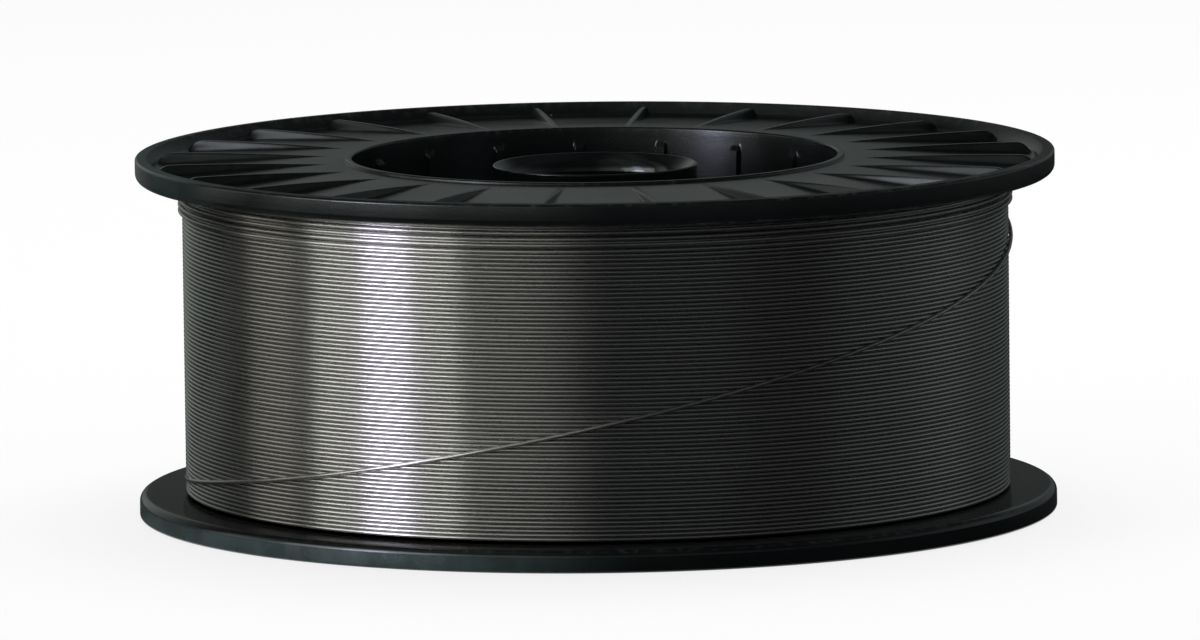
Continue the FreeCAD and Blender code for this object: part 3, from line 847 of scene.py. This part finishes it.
# %% Shine of the steel
bump = add_node(tree, "ShaderNodeBump", {"Strength": 0.08, "Distance": 0.00002, "Height": streaks})
tangent = add_node(tree, "ShaderNodeTangent", direction_type="UV_MAP", uv_map="UVMap").outputs["Tangent"]
shine = add_node(tree, "ShaderNodeBsdfPrincipled", {
    "Base Color": tone, "Metallic": 1.0, "Roughness": ranged(tree, patches, 0.3, 0.7, 0.25, 0.29),
    "Anisotropic": 1.0, "Anisotropic Rotation": 0.25, "Tangent": tangent, "Normal": bump.outputs["Normal"],
})
tree.links.new(shine.outputs[0], output.inputs["Surface"])
for piece in (*wire_bands, last_wire, core):
    dress(piece, steel)
print("steel nodes", len(tree.nodes))

# %% [markdown]
# ## The studio
# A plain pale floor, and soft light. The photograph's own set was a dim room with one tall soft lamp at
# the front left and a pale wall behind it, and polished wire shows nothing but its surroundings. So the
# floor and the world are white to the camera, to gloss and to glass, and a dim screen stands round the
# spool that only gloss can see, as a photographer hangs dark cards round a shiny thing.

# %% White to the eye, soft to matt faces
scene = bpy.context.scene
floor_half = 9000.0
floor_corners = [(-floor_half, -floor_half, 0), (floor_half, -floor_half, 0),
                 (floor_half, floor_half, 0), (-floor_half, floor_half, 0)]
floor = bpy.data.objects.new("floor", bpy.data.meshes.new("floor"))
floor.data.from_pydata((np.array(floor_corners) * MM).tolist(), [], [(0, 1, 2, 3)])
scene.collection.objects.link(floor)


def seen_directly(tree):
    """1 for the camera and for rays that gloss or glass sends out, 0 for the light that matt faces gather."""
    path = add_node(tree, "ShaderNodeLightPath").outputs
    both = maths(tree, "MAXIMUM", path["Is Camera Ray"], path["Is Glossy Ray"])
    return maths(tree, "MAXIMUM", both, path["Is Transmission Ray"])


# %% Floor and world
white_share, world_level = 0.78, 0.5
pale, tree, output = new_material("pale_floor")
matt = add_node(tree, "ShaderNodeBsdfDiffuse", {"Color": (0.9, 0.9, 0.9, 1)})
white = add_node(tree, "ShaderNodeEmission", {"Color": (1, 1, 1, 1), "Strength": 1.0})
blended(tree, maths(tree, "MULTIPLY", seen_directly(tree), white_share), matt, white, output)
floor.data.materials.append(pale)

world = bpy.data.worlds.new("studio")
scene.world = world
world.use_nodes = True
tree = world.node_tree
tree.nodes.clear()
strength = ranged(tree, seen_directly(tree), 0.0, 1.0, world_level, 1.0)
backdrop = add_node(tree, "ShaderNodeBackground", {"Color": (1, 1, 1, 1), "Strength": strength})
tree.links.new(backdrop.outputs[0], add_node(tree, "ShaderNodeOutputWorld").inputs["Surface"])
print("floor", 2 * floor_half * MM, "m wide")

# %% [markdown]
# The dim screen is a flat disc just over the floor, from the flange's edge outwards, that curves up into
# a dome. The camera, shadows and matt faces don't see it.

# %% The dim screen that only gloss sees
screen_radius, screen_lift, screen_steps, screen_top = 6000.0, 0.3, 96, 1.0
screen_rises = np.radians(np.arange(7.5, 90, 7.5))
dome = screen_radius * np.stack([np.cos(screen_rises), np.sin(screen_rises)], axis=-1)
screen_section = np.array([
    *[(distance, screen_lift) for distance in (flange_radius + 0.2, 400, 2000, screen_radius)],
    *(dome + [0, screen_lift]),
    (screen_top, screen_radius),
])
screen_turn = np.linspace(0, 2 * math.pi, screen_steps, endpoint=False)
screen_points = round_axis(screen_section[:, :1], screen_turn, screen_section[:, 1:]).reshape(-1, 3) * MM
screen = bpy.data.objects.new("dim_screen", bpy.data.meshes.new("dim_screen"))
screen.data.from_pydata(screen_points.tolist(), [], grid_quads(len(screen_section), screen_steps).tolist())
scene.collection.objects.link(screen)
for ray in ("camera", "diffuse", "transmission", "volume_scatter", "shadow"):
    setattr(screen, f"visible_{ray}", False)
print("screen faces", len(screen.data.polygons))

# %% [markdown]
# ## Cards on the screen
# Each place round the coil mirrors the screen at an azimuth of its own, so a tone there is a card on the
# screen: a soft strip of light on the dim ground, or one below zero, which takes light away behind the
# spool. The flat flanges mirror the screen as well, low over the horizon behind the spool: the panel's
# far side at 1.6 degrees, the ring at 7.2 and the panel's near side at 12.8. So the cards fade with
# height, and the one behind the spool starts above the horizon, lower on its left than on its right.

# %% Colours and places on the screen
tube_violet, ivory, rosy = (0.87, 0.81, 1.08), (1.0, 0.99, 0.96), (1.0, 0.95, 0.88)
green_grey, blue_grey, dim_grey = (0.93, 1.0, 0.93), (0.9, 1.0, 1.03), (0.09, 0.096, 0.094)
dim, tree, output = new_material("dim_cloth")
at = add_node(tree, "ShaderNodeTexCoord").outputs["Object"]
way = vectors(tree, "NORMALIZE", at)
rise_share = height_of(tree, way)
level_way, outwards = from_axis(tree, at)


def card(azimuth, inner, outer, level, colour):
    """A coloured upright strip of the screen round one azimuth."""
    return scaled(tree, colour, near_azimuth(tree, level_way, azimuth, inner, outer, level))


def added(first, *others):
    """The sum of several colours."""
    for other in others:
        first = vectors(tree, "ADD", first, other)
    return first


# %% Hang the cards
cards = added(dim_grey,
              card(-63, 20, 27, 0.5, ivory),
              card(-46, 15, 49, 0.68, ivory),
              card(-102.5, 7.5, 11, 0.7, rosy),
              card(180, 30, 62, -0.045, ivory))
above_cards = added(card(-149, 8, 27, 0.16, green_grey),
                    card(15, 8, 36, 0.06, blue_grey),
                    card(98, 12, 36, 0.1, blue_grey),
                    card(140, 12, 50, 0.07, blue_grey))
rear_card = card(180, 12, 48, 0.115, green_grey)

# %% How the cards fade with height
topmost = ranged(tree, rise_share, 0.3, 0.62, 1.0, 0.2, smooth=True)
off_floor = ranged(tree, outwards, 0.45, 1.9, 0.08, 1.0, smooth=True)
over_horizon = ranged(tree, rise_share, -0.02, 0.08, 0.0, 1.0, smooth=True)
rear_lean = vectors(tree, "DOT_PRODUCT", way, (-0.6, 0, 1), "Value")
rear_height = maths(tree, "MULTIPLY", ranged(tree, rear_lean, 0.095, 0.21, 0.0, 1.0, smooth=True),
                    ranged(tree, rise_share, 0.24, 0.5, 1.0, 0.2, smooth=True))
screen_light = added(scaled(tree, cards, maths(tree, "MULTIPLY", off_floor, topmost)),
                     scaled(tree, above_cards, maths(tree, "MULTIPLY", over_horizon, topmost)),
                     scaled(tree, rear_card, rear_height))
light = add_node(tree, "ShaderNodeEmission", {"Color": screen_light})
tree.links.new(light.outputs[0], output.inputs["Surface"])
screen.data.materials.append(dim)
print("screen nodes", len(tree.nodes))


# %% [markdown]
# ## Lamps
# Two ordinary soft lamps light the matt faces. What the wire mirrors of the tall lamp and of the pale
# wall are three more lamps that only gloss sees, because Cycles finds a lamp far sooner than a bright
# patch on a screen, and the picture has far less noise.

# %% Lamps
def area_lamp(name, azimuth, elevation, distance, width, tall, power, colour=(1, 1, 1), seen_by="diffuse"):
    """A rectangular lamp on a sphere round the spool, facing its middle; azimuth 0 is the camera's side."""
    turn, rise = math.radians(azimuth), math.radians(elevation)
    away = Vector((math.sin(turn) * math.cos(rise), -math.cos(turn) * math.cos(rise), math.sin(rise)))
    data = bpy.data.lights.new(name, "AREA")
    data.shape, data.color = "RECTANGLE", colour
    data.size, data.size_y, data.energy = width, tall, power
    lamp = bpy.data.objects.new(name, data)
    lamp.location = away * distance + Vector((0, 0, overall_width / 2 * MM))
    lamp.rotation_euler = away.to_track_quat("Z", "Y").to_euler()
    lamp.visible_glossy, lamp.visible_diffuse = seen_by == "gloss", seen_by == "diffuse"
    scene.collection.objects.link(lamp)


def strip_lamp(name, azimuth, half_width, low, high, level, colour):
    """A lamp that only gloss sees: it spans these angles, and its surface shines as brightly as level.

    Its sides are twice the distance times the tangents of its half angles, and its power is the level
    times pi times its area."""
    distance = 5.0
    width = 2 * distance * math.tan(math.radians(half_width))
    tall = 2 * distance * math.tan(math.radians((high - low) / 2))
    power = level * math.pi * width * tall
    area_lamp(name, azimuth, (low + high) / 2, distance, width, tall, power, colour, "gloss")


area_lamp("tall_soft_lamp", -60, 20, 1.7, 0.42, 1.5, 5.0)
area_lamp("overhead", 160, 70, 2.0, 1.8, 1.8, 28.0)
strip_lamp("lamp_tube", -60.3, 6.6, 2.5, 13, 16.0, tube_violet)
strip_lamp("lamp_tube_top", -60, 6.0, 13, 32, 2.5, tube_violet)
strip_lamp("lamp_wall", -62, 23, 0.6, 26, 1.9, ivory)
print("lamps", sorted(lamp.name for lamp in bpy.data.lights))

# %% [markdown]
# ## The camera
# The photograph was taken from far away through a long lens, a little over seven degrees above the
# floor, with the camera leaning by two thirds of a degree. The aim's small shifts, in metres, bring the
# spool to its place in the picture.

# %% Place the camera
camera_rise, camera_roll = math.radians(7.209), math.radians(-0.662)
camera_distance, orbit_height, lens, sensor = 4.0, 0.0532, 408.1, 36.0
aim_right, aim_up = 0.00102, 0.00292
spool_middle = Vector((0, 0, overall_width / 2 * MM))
eye_point = Vector((0, -camera_distance * math.cos(camera_rise),
                    orbit_height + camera_distance * math.sin(camera_rise)))
aim = spool_middle + Vector((aim_right, 0, aim_up / math.cos(camera_rise)))
forward = (aim - eye_point).normalized()
level_right = forward.cross(Vector((0, 0, 1))).normalized()
level_up = level_right.cross(forward)
right = math.cos(camera_roll) * level_right + math.sin(camera_roll) * level_up
up = math.cos(camera_roll) * level_up - math.sin(camera_roll) * level_right
camera_data = bpy.data.cameras.new("camera")
camera_data.sensor_width, camera_data.lens = sensor, lens
camera_data.clip_start, camera_data.clip_end = 0.1, 50.0
camera = bpy.data.objects.new("camera", camera_data)
camera.matrix_world = Matrix((
    (right.x, up.x, -forward.x, eye_point.x),
    (right.y, up.y, -forward.y, eye_point.y),
    (right.z, up.z, -forward.z, eye_point.z),
    (0, 0, 0, 1),
))
scene.collection.objects.link(camera)
scene.camera = camera
scene.view_settings.view_transform = "Standard"
print("camera at", [round(number, 3) for number in eye_point])
